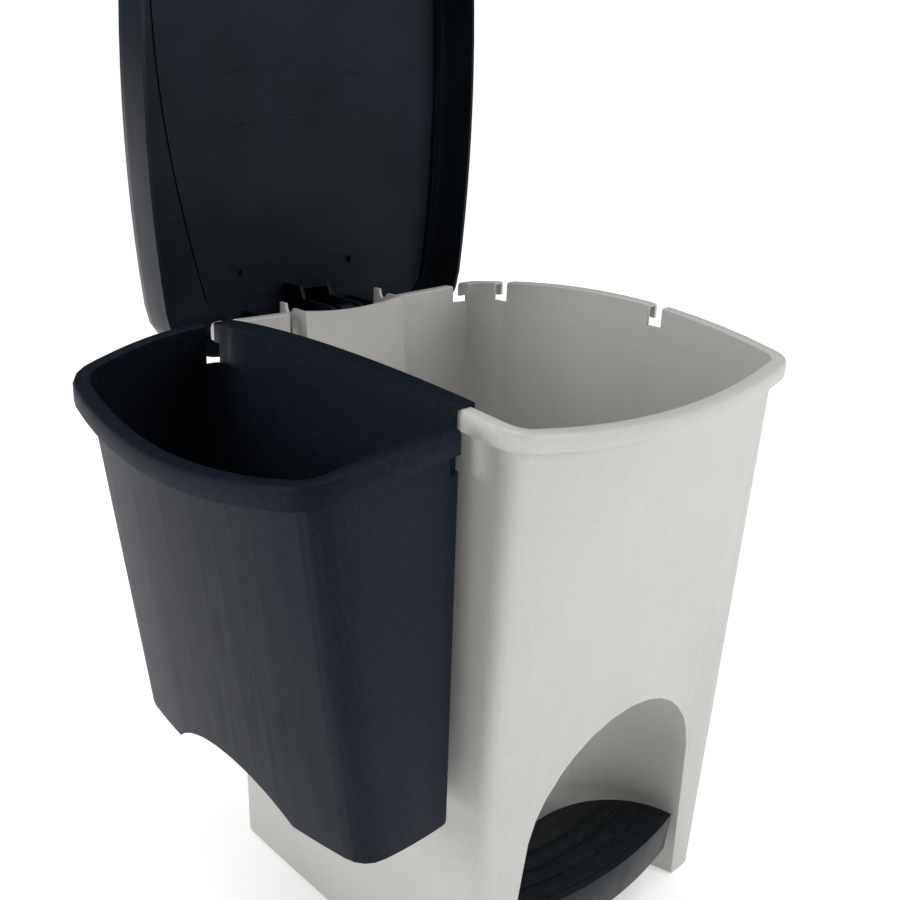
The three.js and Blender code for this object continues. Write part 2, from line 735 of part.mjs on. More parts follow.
/** Drawn upright from the foot pin at the origin. */
function rodEnd(pinRadius, eyeRadius, upwards) {
  const neckEnd = upwards * rodNeckLength;
  const low = Math.min(0, neckEnd);
  const high = Math.max(0, neckEnd);
  const seat = upwards * rodSeat;
  return rodX(eyeRadius, -rodEyeHalfWidth, rodEyeHalfWidth, 0, 0)
    .add(rodZ(rodNeckRadius, 0, 0, low, high))
    .subtract(rodX(pinRadius + fit, -rodEyeHalfWidth - 1, rodEyeHalfWidth + 1, 0, 0))
    .subtract(rodZ(rodRadius + fit, 0, 0, Math.min(seat, neckEnd * 1.1), Math.max(seat, neckEnd * 1.1)));
}

// ---------------------------------------------------------------- pedal, drawn level about its pivot

const treadMiddleY = nicheY - pedalPivotY;
const leverFrontY = -treadFront - pedalPivotY;

function leverSolid() {
  const carrierBack = leverFrontY + leverCarrierReach;
  const wing = leverHalfWidth + leverWingWidth;
  const side = polygon([
    [leverRear + 7, -leverHalfDepth], [leverRear + 7, leverHalfDepth],
    [carrierBack + 14, leverHalfDepth], [carrierBack, treadLift - 8], [carrierBack, treadLift],
    [leverFrontY + 5, treadLift], [leverFrontY + 5, treadLift - 12], [leverFrontY + 16, -4],
    [leverFrontY + leverToeReach, -leverHalfDepth],
  ]);
  const inner = leverHalfWidth - leverRib;
  const rear = leverRear - 14;
  let lever = bothSides(prismX(side, inner, leverHalfWidth));
  lever = lever.add(box(-leverHalfWidth, leverHalfWidth, carrierBack + 8, rear, leverHalfDepth - 2.6, leverHalfDepth));
  lever = lever.add(box(-wing, wing, leverFrontY + 8, leverFrontY + leverWingReach, treadLift - 3, treadLift));
  const ribPitch = 32;
  for (let y = rear - 3; y > carrierBack + 12; y -= ribPitch) {
    lever = lever.add(box(-inner - 1, inner + 1, y - 1.2, y + 1.2, -leverHalfDepth, leverHalfDepth - 1));
  }
  lever = lever.add(rodX(pedalBossRadius, -pedalBossHalf, pedalBossHalf, 0, 0));
  lever = lever.subtract(rodX(pedalPinRadius + fit, -pedalBossHalf - 1, pedalBossHalf + 1, 0, 0));
  return lever.subtract(forkSlot());
}

/** The open slot in the lever's rear cheeks: the rod foot sways along it as the crank turns. */
function forkSlot() {
  const half = crankPinRadius + forkPlay;
  const sway = crankRadius * (1 - Math.cos(crankTurn)) + 1;
  const slot = rodX(half, -leverHalfWidth - 1, leverHalfWidth + 1, leverRear, 0, 16);
  return slot.add(slot.translate([0, -sway, 0]))
    .add(box(-leverHalfWidth - 1, leverHalfWidth + 1, leverRear - sway, leverRear, -half, half));
}

function treadShape(inset) {
  const wide = nicheHalfWidth - treadSideGap - inset;
  const deep = nicheDepth - treadBackGap - inset;
  const front = leverFrontY + inset;
  const start = Math.asin((front - treadMiddleY) / deep);
  const shape = new THREE.Shape();
  shape.absellipse(0, treadMiddleY, wide, deep, start, Math.PI - start, false, 0);
  shape.quadraticCurveTo(0, front - 2 * treadFrontBulge, wide * Math.cos(start), front);
  return shape;
}

function treadRidges() {
  let ridges = null;
  const bow = 2 * treadFrontBulge + treadRidgeMargin;
  const cover = prismZ(treadShape(3), treadLift, treadLift + treadThickness + 10, 20);
  for (let i = 0; i < treadRidgeCount; i += 1) {
    const y = leverFrontY + treadRidgeMargin + i * treadRidgePitch;
    const shape = new THREE.Shape();
    shape.moveTo(-nicheHalfWidth, y);
    shape.quadraticCurveTo(0, y - bow, nicheHalfWidth, y);
    shape.lineTo(nicheHalfWidth, y + treadRidgeWidth);
    shape.quadraticCurveTo(0, y - bow + treadRidgeWidth, -nicheHalfWidth, y + treadRidgeWidth);
    const top = treadLift + fit + treadThickness;
    const ridge = prismZ(shape, top - 1, top + treadRidgeHeight, 20).intersect(cover);
    ridges = ridges ? ridges.add(ridge) : ridge;
  }
  return ridges;
}

function treadSolid() {
  const under = treadLift + fit;
  const plate = prismZ(treadShape(0), under, under + treadThickness, 20);
  const skirt = prismZ(treadShape(0), under - treadSkirt, under + 1, 20)
    .subtract(prismZ(treadShape(lidWall), under - treadSkirt - 1, under + 2, 20))
    .subtract(box(-leverHalfWidth - 6, leverHalfWidth + 6, leverFrontY + 30, 0, 0, under - 0.01));
  return plate.add(skirt).add(treadRidges());
}

// ---------------------------------------------------------------- hung bucket

const hookOuter = lipReach + hookClearance; // from the body's wall face to the bucket's inner wall
const bucketInnerX = leftRim(bucketHalfLength).x - hookOuter;
const bucketInnerFrontX = leftRim(-bucketHalfLength).x - hookOuter;
const bucketInnerSag = bulgeSide * ((2 * bucketHalfLength) / (bodyBack + bodyFront)) ** 2;
const slotInnerX = bucketInnerX - bucketWall;
const slotOuterX = slotInnerX - bucketSlotWidth;

function bucketOutline(reach, bulge, rise) {
  const outerX = bucketInnerX - reach;
  return swollenOutline({
    corners: [
      corner(outerX, -bucketHalfLength), corner(bucketInnerFrontX, -bucketHalfLength),
      corner(bucketInnerX, bucketHalfLength), corner(outerX, bucketHalfLength),
    ],
    bulge: [bucketEndBulge, -bucketInnerSag, bucketEndBulge, bulge],
    rise,
    radius: [bucketCorner, bucketInnerCorner, bucketInnerCorner, bucketCorner],
  });
}

// The end walls climb towards the hook, and the outer wall dips between them.
const bucketTopOutline = bucketOutline(bucketTopReach, bucketBulge, [
  (u) => bucketRiseFront * (1 - (1 - u) ** 2), arched(0, bucketRiseFront, bucketRiseBack),
  (u) => bucketRiseBack * (1 - u ** 2), arched(bucketRimDip),
]);
const bucketRing = tub({
  rim: bucketTopOutline,
  foot: bucketOutline(bucketBaseReach, bucketBaseBulge, [level, level, level, level]),
  baseZ: bucketBase,
  topZ: bucketRim,
});

const beyondBucket = bucketInnerX - 2 * bucketTopReach;

/** The wall's top: the bucket's own rim, or the taller wall that carries the hook. */
const hookWallPoints = bucketTopOutline.slice(sideSteps + 1, 2 * perSide);
function bucketWallTop(top, rimPoint) {
  return hookWallPoints.includes(rimPoint) ? leftRim(rimPoint.y).top + fit + hookThickness / 3 : top - 1;
}

function archPrism(grow) {
  const radius = (bucketArchHalf ** 2 + bucketArchRise ** 2) / (2 * bucketArchRise);
  const centreZ = bucketBase + bucketArchRise - radius;
  const shape = new THREE.Shape();
  shape.absarc(0, centreZ, radius + grow, 0.12 * Math.PI, 0.88 * Math.PI, false);
  return prismX(shape, beyondBucket, 0, 28);
}

/** Ring sections that run along the body's left rim, from offsets off the wall and drops off the rim. */
function alongLeftRim(profile, fromY, toY) {
  const steps = 16;
  const sections = [];
  for (let i = 0; i <= steps; i += 1) {
    const y = THREE.MathUtils.lerp(fromY, toY, i / steps);
    const here = leftRim(y);
    sections.push(profile.map(([offset, lift]) => new THREE.Vector3(here.x - offset, y, here.top + lift)));
  }
  return loft(sections, profile.map(([offset, lift]) => new THREE.Vector2(offset, lift)));
}

function hookSolid() {
  const inside = -bodyWall - fit;
  const farEdge = inside - hookLegThickness;
  const under = fit;
  const over = fit + hookThickness;
  const round = 0.6 * hookThickness;
  const bead = hookOuter + bucketWall - fit;
  const coreInner = hookOuter + 0.7;
  const coreOuter = hookOuter + bucketWall - 0.7;
  return alongLeftRim([
    [coreInner, -lipDrop], [coreOuter, -lipDrop], [coreOuter, under], [bead, under + 0.5],
    [bead, over - round], [bead - round, over],
    [farEdge + round / 2, over], [farEdge, over - round],
    [farEdge, -hookLeg], [inside, -hookLeg],
    [inside, under], [coreInner, under],
  ], hookFrontY - bucketWall, hookBackY);
}

/** The turned-down lip on the bucket's two ends and outer wall, open towards the hook. */
function bucketLipSolid() {
  const normals = outwardNormals(bucketTopOutline);
  const backEnd = 2 * perSide;
  const frontEnd = 4 * perSide + sideSteps;
  const profile = [
    [-bucketWall / 2, -bucketWall], [bucketLip - bucketWall, -bucketWall],
    [bucketLip - bucketWall, -bucketLipDrop], [bucketLip, -bucketLipDrop], [bucketLip, -3],
    [bucketLip - 1, -0.9], [bucketLip - 3, 0], [1 - bucketWall, 0], [-0.4 - bucketWall, -1.6],
  ];
  const sections = [];
  for (let i = backEnd; i <= frontEnd; i += 1) {
    const j = i % bucketTopOutline.length;
    const p = bucketTopOutline[j];
    sections.push(profile.map(([offset, lift]) => new THREE.Vector3(
      p.x + normals[j].x * offset, p.y + normals[j].y * offset, bucketRim + p.z + lift)));
  }
  return loft(sections, profile.map(([offset, lift]) => new THREE.Vector2(offset, lift)));
}

function bucketSolid() {
  const low = () => bucketBase;
  const walls = loft([
    bucketRing(low, 0), bucketRing(bucketWallTop, 0),
    bucketRing(bucketWallTop, -bucketWall), bucketRing(low, -bucketWall),
  ]);
  const floorLow = bucketRing(low, -bucketWall / 2);
  const floorHigh = bucketRing(() => bucketBase + bucketArchRise + 2 * bucketWall, -bucketWall / 2);
  const beyondEnds = 2 * bucketHalfLength;
  const aboveFloor = box(beyondBucket, 0, -beyondEnds, beyondEnds, bucketBase + bucketWall, bucketRim)
    .subtract(archPrism(bucketWall));
  const floor = loft([floorLow, floorHigh], flat(floorLow)).subtract(aboveFloor);
  return walls.add(floor).subtract(archPrism(0)).add(hookSolid()).add(bucketLipSolid()).subtract(bucketSlots());
}

/** The two slots that the shut lid's edge drops into; the front one takes the corner with it. */
function bucketSlots() {
  const beyondEnds = 2 * bucketHalfLength;
  const front = box(slotOuterX, 0, -beyondEnds, hookFrontY, bucketRim - bucketSlotDepthFront, aboveRim);
  const back = box(slotOuterX, slotInnerX, bucketHalfLength - bucketCorner, beyondEnds,
    bucketRim - bucketSlotDepthBack, aboveRim);
  return front.add(back);
}

// ---------------------------------------------------------------- assembly

const finish = (color, roughness, metalness = 0) => new THREE.MeshStandardMaterial({ color, roughness, metalness });
const greyShell = finish('#c9c8c5', 0.5);
const darkShell = finish('#2a2f38', 0.45);
const pedalBlack = finish('#15191d', 0.6);
const rubber = finish('#2b2b2b', 0.9);
const steel = finish('#b9bcc0', 0.3, 1);

function mesh(name, manifold, material) {
  const { numProp, vertProperties, triVerts } = manifold.getMesh();
  const position = new Float32Array((vertProperties.length / numProp) * 3);
  for (let i = 0; i < position.length / 3; i += 1) {
    position.set(vertProperties.subarray(i * numProp, i * numProp + 3), i * 3);
  }
  const geometry = new THREE.BufferGeometry();
  geometry.setAttribute('position', new THREE.BufferAttribute(position, 3));
  geometry.setIndex(new THREE.BufferAttribute(Uint32Array.from(triVerts), 1));
  geometry.computeVertexNormals();
  const result = new THREE.Mesh(geometry, material);
  result.name = name;
  return result;
}

const bin = new THREE.Group();

bin.add(mesh('body_shell', bodySolid(), greyShell));
for (const [place, [x, y]] of Object.entries(footPlaces())) {
  bin.add(mesh(`foot_pad_${place}`, footPad(x, y), rubber));
}
bin.add(mesh('hinge_pin_right', hingePin(), steel));
bin.add(mesh('hinge_pin_left', hingePin().mirror([1, 0, 0]), steel));

const pinEnd = pedalBossHalf + 1 + bracketThickness + fit + capThickness - 1;
const capInner = pedalBossHalf + 1 + bracketThickness + fit;
const pinCap = rodX(capRadius, capInner, capInner + capThickness, pedalPivotY, pedalPivotZ)
  .subtract(rodX(pedalPinRadius + fit, 0, pinEnd + fit, pedalPivotY, pedalPivotZ));
bin.add(mesh('pedal_pin', rodX(pedalPinRadius, -pinEnd, pinEnd, pedalPivotY, pedalPivotZ), steel));
bin.add(mesh('pedal_pin_cap_right', pinCap, steel));
bin.add(mesh('pedal_pin_cap_left', pinCap.mirror([1, 0, 0]), steel));

// The lid and its crank pin are drawn closed, then swung open about the hinge.
const lid = new THREE.Group();
lid.position.set(0, hingeY, hingeZ);
lid.rotation.x = -degrees(openAngle);
const crankEnd = crankCheekHalfGap + crankCheekThickness + 1;
const crankPin = rodX(crankPinRadius, -crankEnd, crankEnd, crankOpen.y, 2 * hingeZ - crankOpen.z);
const toHinge = [0, -hingeY, -hingeZ];
lid.add(mesh('lid_shell', lidSolid().translate(toHinge), darkShell));
lid.add(mesh('crank_pin', crankPin.translate(toHinge), steel));
bin.add(lid);

const rod = new THREE.Group();
rod.position.set(0, rodFoot.y, rodFoot.z);
rod.rotation.x = -Math.atan(rodSlope);
const shaft = rodZ(rodRadius, 0, 0, rodSeat + fit, rodLength - rodSeat - fit, 16);
rod.add(mesh('push_rod', shaft, steel));
rod.add(mesh('rod_foot', rodEnd(crankPinRadius, crankEyeRadius, 1), pedalBlack));
rod.add(mesh('rod_head', rodEnd(crankPinRadius, crankEyeRadius, -1).translate([0, 0, rodLength]), pedalBlack));
rod.add(mesh('foot_pin', rodX(crankPinRadius, -leverHalfWidth - 2, leverHalfWidth + 2, 0, 0), steel));
bin.add(rod);

const pedal = new THREE.Group();
pedal.position.set(0, pedalPivotY, pedalPivotZ);
pedal.rotation.x = pedalTilt;
pedal.add(mesh('pedal_lever', leverSolid(), pedalBlack));
pedal.add(mesh('pedal_tread', treadSolid(), pedalBlack));
bin.add(pedal);

bin.add(mesh('bucket_shell', bucketSolid(), darkShell));

// The origin is the middle of the whole outline, on the floor.
const extent = new THREE.Box3().setFromObject(bin, true);
const middle = extent.getCenter(new THREE.Vector3());
bin.position.set(-middle.x, -middle.y, -extent.min.z);

export default bin;
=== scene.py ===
# %% [markdown]
# # A double recycling bin
# The object is a moulded pedal bin with its lid standing open and a small bucket hooked over its
# left rim. Its solids already exist, with their joints. This lesson loads them, lights them like a
# product on a white table, gives each plastic its own grain and wear, and turns the five main
# mouldings into smooth shells, most of them with softened edges.

# %% Load the solids
import json
import math

import bpy
from mathutils import Matrix, Vector


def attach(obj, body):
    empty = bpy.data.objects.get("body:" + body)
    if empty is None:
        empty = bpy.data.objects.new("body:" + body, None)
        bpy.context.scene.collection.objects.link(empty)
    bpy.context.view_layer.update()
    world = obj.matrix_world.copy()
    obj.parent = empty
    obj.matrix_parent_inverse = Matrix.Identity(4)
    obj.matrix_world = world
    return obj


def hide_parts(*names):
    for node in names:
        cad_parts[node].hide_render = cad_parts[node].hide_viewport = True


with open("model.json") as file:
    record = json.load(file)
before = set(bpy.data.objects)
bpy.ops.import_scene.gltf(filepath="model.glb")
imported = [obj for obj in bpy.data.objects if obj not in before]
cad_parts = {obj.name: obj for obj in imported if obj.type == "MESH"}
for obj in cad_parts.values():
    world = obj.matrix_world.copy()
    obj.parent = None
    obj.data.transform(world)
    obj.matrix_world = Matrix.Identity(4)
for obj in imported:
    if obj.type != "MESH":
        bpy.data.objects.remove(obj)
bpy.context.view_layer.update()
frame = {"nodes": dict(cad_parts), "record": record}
nodes = frame["nodes"]

# %% [markdown]
# ## The camera
# A photograph fixes where its camera stood. Here the place, the three turns and the focal length
# were worked out from the bin's own edges: the level rims give the tilt, and the two side walls
# give the direction. A camera set by eye would be quicker, but then every shape would be judged
# from a slightly wrong side. A small lens shift stands for the crop, because the picture's optical
# middle isn't the middle of the frame.

# %% Place the camera
MM = 0.001
CAMERA_PLACE = Vector((-507.640, -579.376, 615.407)) * MM
CAMERA_PITCH = math.radians(18.6267)
CAMERA_YAW = math.radians(43.2222)
CAMERA_ROLL = math.radians(1.6564)
NEAREST_SEEN = 20 * MM
SENSOR_MM = 36.0
PICTURE_SIDE = 900
FOCAL_PIXELS = 1169.99
OPTICAL_MIDDLE = (438.8, 431.68)


def photo_camera():
    """The photograph's camera; its three axes come from its yaw, pitch and roll."""
    ahead = Vector((math.sin(CAMERA_YAW) * math.cos(CAMERA_PITCH),
                    math.cos(CAMERA_YAW) * math.cos(CAMERA_PITCH), -math.sin(CAMERA_PITCH)))
    level_right = Vector((math.cos(CAMERA_YAW), -math.sin(CAMERA_YAW), 0))
    level_up = level_right.cross(ahead)
    right = level_right * math.cos(CAMERA_ROLL) + level_up * math.sin(CAMERA_ROLL)
    up = level_up * math.cos(CAMERA_ROLL) - level_right * math.sin(CAMERA_ROLL)
    turn = Matrix((right, up, -ahead)).transposed().to_4x4()
    lens = bpy.data.cameras.new("photo_camera")
    lens.sensor_width = SENSOR_MM
    lens.lens = FOCAL_PIXELS / PICTURE_SIDE * SENSOR_MM
    lens.shift_x = 0.5 - OPTICAL_MIDDLE[0] / PICTURE_SIDE
    lens.shift_y = OPTICAL_MIDDLE[1] / PICTURE_SIDE - 0.5
    lens.clip_start = NEAREST_SEEN
    holder = bpy.data.objects.new("photo_camera", lens)
    holder.matrix_world = Matrix.Translation(CAMERA_PLACE) @ turn
    bpy.context.scene.collection.objects.link(holder)
    return holder


camera = photo_camera()
bpy.context.scene.camera = camera
print("lens", round(camera.data.lens, 2), "mm")

# %% [markdown]
# ## The table
# The bin stands on a white table without an edge in sight. A curved paper sweep would do the same
# in a studio. A very large plane is simpler. Its finish follows once the plastics are made.

# %% Make the table
TABLE_SIDE = 24


def deselect_all():
    """Clears the selection, because an operator acts on all that is selected."""
    bpy.ops.object.select_all(action="DESELECT")


deselect_all()
bpy.ops.mesh.primitive_plane_add(size=TABLE_SIDE, location=(0, 0, 0))
table = bpy.context.active_object
table.name = "white_table"
print("table side:", TABLE_SIDE, "m")

# %% [markdown]
# ## The lamps
# The dark plastic shows broad soft sheens and the floor only a faint shadow under the edges, so
# the light was wide and came from more than one side. A single hard sun would draw a sharp shadow.
# Here a square lamp stands over the front, another at the left, and a very wide sun takes the
# place of a bright ceiling.

# %% Hang the lamps
LIT_POINT = Vector((0, 0, 0.3))
LAMP_SIDE = 1.3
KEY_PLACE = Vector((1.0, -2.4, 1.3))
KEY_POWER = 31
LEFT_PLACE = Vector((-2.4, 0.7, 1.15))
LEFT_POWER = 32
CEILING_POWER = 2.0
CEILING_WIDTH = math.radians(70)


def soft_lamp(name, place, power):
    """A square lamp at a place, turned so that it faces the point it lights."""
    lamp = bpy.data.lights.new(name, "AREA")
    lamp.size = LAMP_SIDE
    lamp.energy = power
    holder = bpy.data.objects.new(name, lamp)
    holder.location = place
    holder.rotation_euler = (LIT_POINT - place).to_track_quat("-Z", "Y").to_euler()
    bpy.context.scene.collection.objects.link(holder)


def ceiling_light():
    """Even light from straight above, spread over a wide part of the sky."""
    sky = bpy.data.lights.new("ceiling_light", "SUN")
    sky.energy = CEILING_POWER
    sky.angle = CEILING_WIDTH
    bpy.context.scene.collection.objects.link(bpy.data.objects.new("ceiling_light", sky))


soft_lamp("key_lamp", KEY_PLACE, KEY_POWER)
soft_lamp("left_lamp", LEFT_PLACE, LEFT_POWER)
ceiling_light()

# %% [markdown]
# ## Building with nodes
# The studio's walls and every finish below are small nets of shader nodes. They could be drawn by
# hand in the shader editor. In a script, four helpers keep each net short to read: one makes an
# empty group with named sockets, one adds a node and fills its inputs, one stretches a range of
# values, and one adds or multiplies two values.

# %% Helpers for nodes
def new_group(name, inputs, outputs):
    """Makes an empty node group; inputs are (name, kind, default), outputs are (name, kind)."""
    group = bpy.data.node_groups.new(name, "ShaderNodeTree")
    for label, kind, default in inputs:
        socket = group.interface.new_socket(label, in_out="INPUT", socket_type=kind)
        if default is not None:
            socket.default_value = default
    for label, kind in outputs:
        group.interface.new_socket(label, in_out="OUTPUT", socket_type=kind)
    return group, group.nodes.new("NodeGroupInput"), group.nodes.new("NodeGroupOutput")


def add_node(tree, kind, inputs=(), **settings):
    """Adds a node; each input is (name, value) or (name, source node, its output)."""
    node = tree.nodes.new(kind)
    for key, value in settings.items():
        setattr(node, key, value)
    for name, source, *output in inputs:
        if output:
            tree.links.new(source.outputs[output[0]], node.inputs[name])
        else:
            node.inputs[name].default_value = source
    return node


def remap(tree, source, output, between, onto=(0.0, 1.0)):
    """Stretches the values between two limits onto a new range, and clips the rest."""
    return add_node(tree, "ShaderNodeMapRange", [
        ("Value", source, output), ("From Min", between[0]), ("From Max", between[1]),
        ("To Min", onto[0]), ("To Max", onto[1])])


def combine(tree, operation, first, second):
    """Adds or multiplies two values; each is a (node, output) pair or a number in a tuple."""
    return add_node(tree, "ShaderNodeMath", [(0, *first), (1, *second)], operation=operation)


print("node helpers:", [f.__name__ for f in (new_group, add_node, remap, combine)])

# %% [markdown]
# ## The studio walls
# A white wall behind a product looks white, but if it also shone as brightly on the product, the
# dark plastic would turn grey. So the walls show the camera a clean white and give the object only
# a faint glow. The standard view transform keeps white at white.

# %% Paint the studio walls
STUDIO_GLOW = 0.07
WALL_WHITE = 1.05

bpy.context.scene.view_settings.view_transform = "Standard"
studio = bpy.data.worlds.new("white_studio")
bpy.context.scene.world = studio
studio.use_nodes = True
walls = studio.node_tree.nodes["Background"]
walls.inputs["Color"].default_value = (1, 1, 1, 1)
ray = add_node(studio.node_tree, "ShaderNodeLightPath")
seen_or_lighting = remap(
    studio.node_tree, ray, "Is Camera Ray", between=(0.0, 1.0), onto=(STUDIO_GLOW, WALL_WHITE))
studio.node_tree.links.new(seen_or_lighting.outputs["Result"], walls.inputs["Strength"])
print("walls glow", STUDIO_GLOW, "and look", WALL_WHITE)

# %% [markdown]
# ## Shared surface effects
# Every moulded plastic here has the same three habits. The steel of its mould was spark-eroded, so
# its skin has a fine even grain. It carries faint smears where it was wiped. Near the floor it
# picks up dust. Each habit is a node group with its own inputs, built once, so that a material only
# chooses how strong it is.

# %% [markdown]
# ### Moulded grain
# Real spark-eroded plastic is covered with shallow pits and peaks of two sizes. Two noise patterns
# at different scales add up to that height. The highest parts of the coarse one are given out as a
# mask too, because use wears the peaks first. A third, much slower noise is the mottle, the slight
# change of tone that keeps a large wall from looking like paper.

# %% Build the moulded grain
COARSE_PER_FINE = 0.31
COARSE_SHARE = 0.6
PEAK_LIMITS = (0.45, 0.72)
MOTTLE_LIMITS = (0.3, 0.7)


def build_moulded_grain():
    """Gives the grain's height, the mottle, and a mask of the peaks that wear first."""
    group, start, end = new_group(
        "moulded_grain",
        [("Vector", "NodeSocketVector", None), ("Grain per Metre", "NodeSocketFloat", 1400.0),
         ("Mottle per Metre", "NodeSocketFloat", 9.0)],
        [("Height", "NodeSocketFloat"), ("Mottle", "NodeSocketFloat"),
         ("Peaks", "NodeSocketFloat")])
    fine = add_node(group, "ShaderNodeTexNoise", [
        ("Vector", start, "Vector"), ("Scale", start, "Grain per Metre"), ("Detail", 2.0),
        ("Roughness", 0.55)])
    slower = combine(group, "MULTIPLY", (start, "Grain per Metre"), (COARSE_PER_FINE,))
    coarse = add_node(group, "ShaderNodeTexNoise", [
        ("Vector", start, "Vector"), ("Scale", slower, 0), ("Detail", 1.0)])
    coarse_share = combine(group, "MULTIPLY", (coarse, "Fac"), (COARSE_SHARE,))
    height = combine(group, "ADD", (fine, "Fac"), (coarse_share, 0))
    cloud = add_node(group, "ShaderNodeTexNoise", [
        ("Vector", start, "Vector"), ("Scale", start, "Mottle per Metre"), ("Detail", 3.0),
        ("Roughness", 0.6), ("Distortion", 0.4)])
    mottle = remap(group, cloud, "Fac", MOTTLE_LIMITS)
    peaks = remap(group, coarse, "Fac", PEAK_LIMITS)
    group.links.new(height.outputs[0], end.inputs["Height"])
    group.links.new(mottle.outputs["Result"], end.inputs["Mottle"])
    group.links.new(peaks.outputs["Result"], end.inputs["Peaks"])
    return group


moulded_grain = build_moulded_grain()
print("group:", moulded_grain.name, [s.name for s in moulded_grain.interface.items_tree])

# %% [markdown]
# ### Wipe marks
# A cloth leaves long soft streaks that change the shine but hardly the colour. They could be
# painted on an image, but a noise stretched along one axis needs no image and fits any size. A
# second, slower noise breaks the streaks up into patches.

# %% Build the wipe marks
STREAK_SQUEEZE = (1.0, 1.0, 0.12)
STREAK_LIMITS = (0.42, 0.72)
PATCHES_PER_METRE = 11.0
PATCH_LIMITS = (0.4, 0.65)


def build_wipe_marks():
    """Gives a mask of soft upright streaks, in patches."""
    group, start, end = new_group(
        "wipe_marks",
        [("Vector", "NodeSocketVector", None), ("Streaks per Metre", "NodeSocketFloat", 60.0)],
        [("Mask", "NodeSocketFloat")])
    squeezed = add_node(group, "ShaderNodeVectorMath", [
        (0, start, "Vector"), (1, STREAK_SQUEEZE)], operation="MULTIPLY")
    streaks = add_node(group, "ShaderNodeTexNoise", [
        ("Vector", squeezed, 0), ("Scale", start, "Streaks per Metre"), ("Detail", 4.0),
        ("Roughness", 0.65), ("Distortion", 0.8)])
    patches = add_node(group, "ShaderNodeTexNoise", [
        ("Vector", start, "Vector"), ("Scale", PATCHES_PER_METRE), ("Detail", 2.0)])
    clear_streaks = remap(group, streaks, "Fac", STREAK_LIMITS)
    clear_patches = remap(group, patches, "Fac", PATCH_LIMITS)
    both = combine(group, "MULTIPLY", (clear_streaks, "Result"), (clear_patches, "Result"))
    group.links.new(both.outputs[0], end.inputs["Mask"])
    return group


wipe_marks = build_wipe_marks()
print("group:", wipe_marks.name, [s.name for s in wipe_marks.interface.items_tree])

# %% [markdown]
# ### Floor dust
# Dust and scuffs gather in the lowest few centimetres. The height of a point in the object's own
# coordinates gives a soft edge, and a noise eats into it so that the edge isn't a ruled line.

# %% Build the floor dust
SPECKS_PER_METRE = 70.0


def build_floor_dust():
    """Gives a mask that is strongest at the floor and gone at the height called Reach."""
    group, start, end = new_group(
        "floor_dust",
        [("Vector", "NodeSocketVector", None), ("Reach", "NodeSocketFloat", 0.05)],
        [("Mask", "NodeSocketFloat")])
    place = add_node(group, "ShaderNodeSeparateXYZ", [("Vector", start, "Vector")])
    specks = add_node(group, "ShaderNodeTexNoise", [
        ("Vector", start, "Vector"), ("Scale", SPECKS_PER_METRE), ("Detail", 5.0)])
    low = add_node(group, "ShaderNodeMapRange", [
        ("Value", place, "Z"), ("From Min", 0.0), ("From Max", start, "Reach"),
        ("To Min", 1.0), ("To Max", 0.0)])
    eaten = combine(group, "MULTIPLY", (low, "Result"), (specks, "Fac"))
    group.links.new(eaten.outputs[0], end.inputs["Mask"])
    return group


floor_dust = build_floor_dust()
print("group:", floor_dust.name, [s.name for s in floor_dust.interface.items_tree])

# %% [markdown]
# ## One recipe for the plastics
# All the mouldings share one recipe: two close tones mixed by the mottle, a worn tone on the
# grain's peaks and near the floor, a roughness that the wipe marks disturb, and the grain as a
# bump. Wear is darker than a pale plastic and paler than a dark one. The recipe could be copied
# for each plastic, but one function keeps them alike where they should be alike. What differs is
# in its arguments: the tones, how rough the skin and how strong its gloss is, the tint of that
# gloss, and how fine and how deep the grain is.

# %% Write the recipe
PEAK_WEAR = 0.16
FLOOR_DUST = 0.35
DUST_REACH = 50 * MM
GRAIN_RELIEF = 0.4 * MM
WHITE_GLOSS = (1.0, 1.0, 1.0)
BLUE_GLOSS = (0.66, 0.80, 1.0)
# A Mix node has several sockets of each name; these are the numbers of those that mix colours.
MIX_FACTOR, MIX_BELOW, MIX_ABOVE, MIX_RESULT = 0, 6, 7, 2


def use_group(tree, group, coordinates, **values):
    """Places a shared effect in a material and feeds it the object's own coordinates."""
    node = tree.nodes.new("ShaderNodeGroup")
    node.node_tree = group
    tree.links.new(coordinates.outputs["Object"], node.inputs["Vector"])
    for label, value in values.items():
        node.inputs[label.replace("_", " ")].default_value = value
    return node


def mix_tones(tree, mask, output, below, above):
    """Mixes two colours by a mask; each may be a colour or the mix under it."""
    mix = tree.nodes.new("ShaderNodeMix")
    mix.data_type = "RGBA"
    tree.links.new(mask.outputs[output], mix.inputs[MIX_FACTOR])
    for socket, colour in ((mix.inputs[MIX_BELOW], below), (mix.inputs[MIX_ABOVE], above)):
        if isinstance(colour, bpy.types.Node):
            tree.links.new(colour.outputs[MIX_RESULT], socket)
        else:
            socket.default_value = (*colour, 1.0)
    return mix


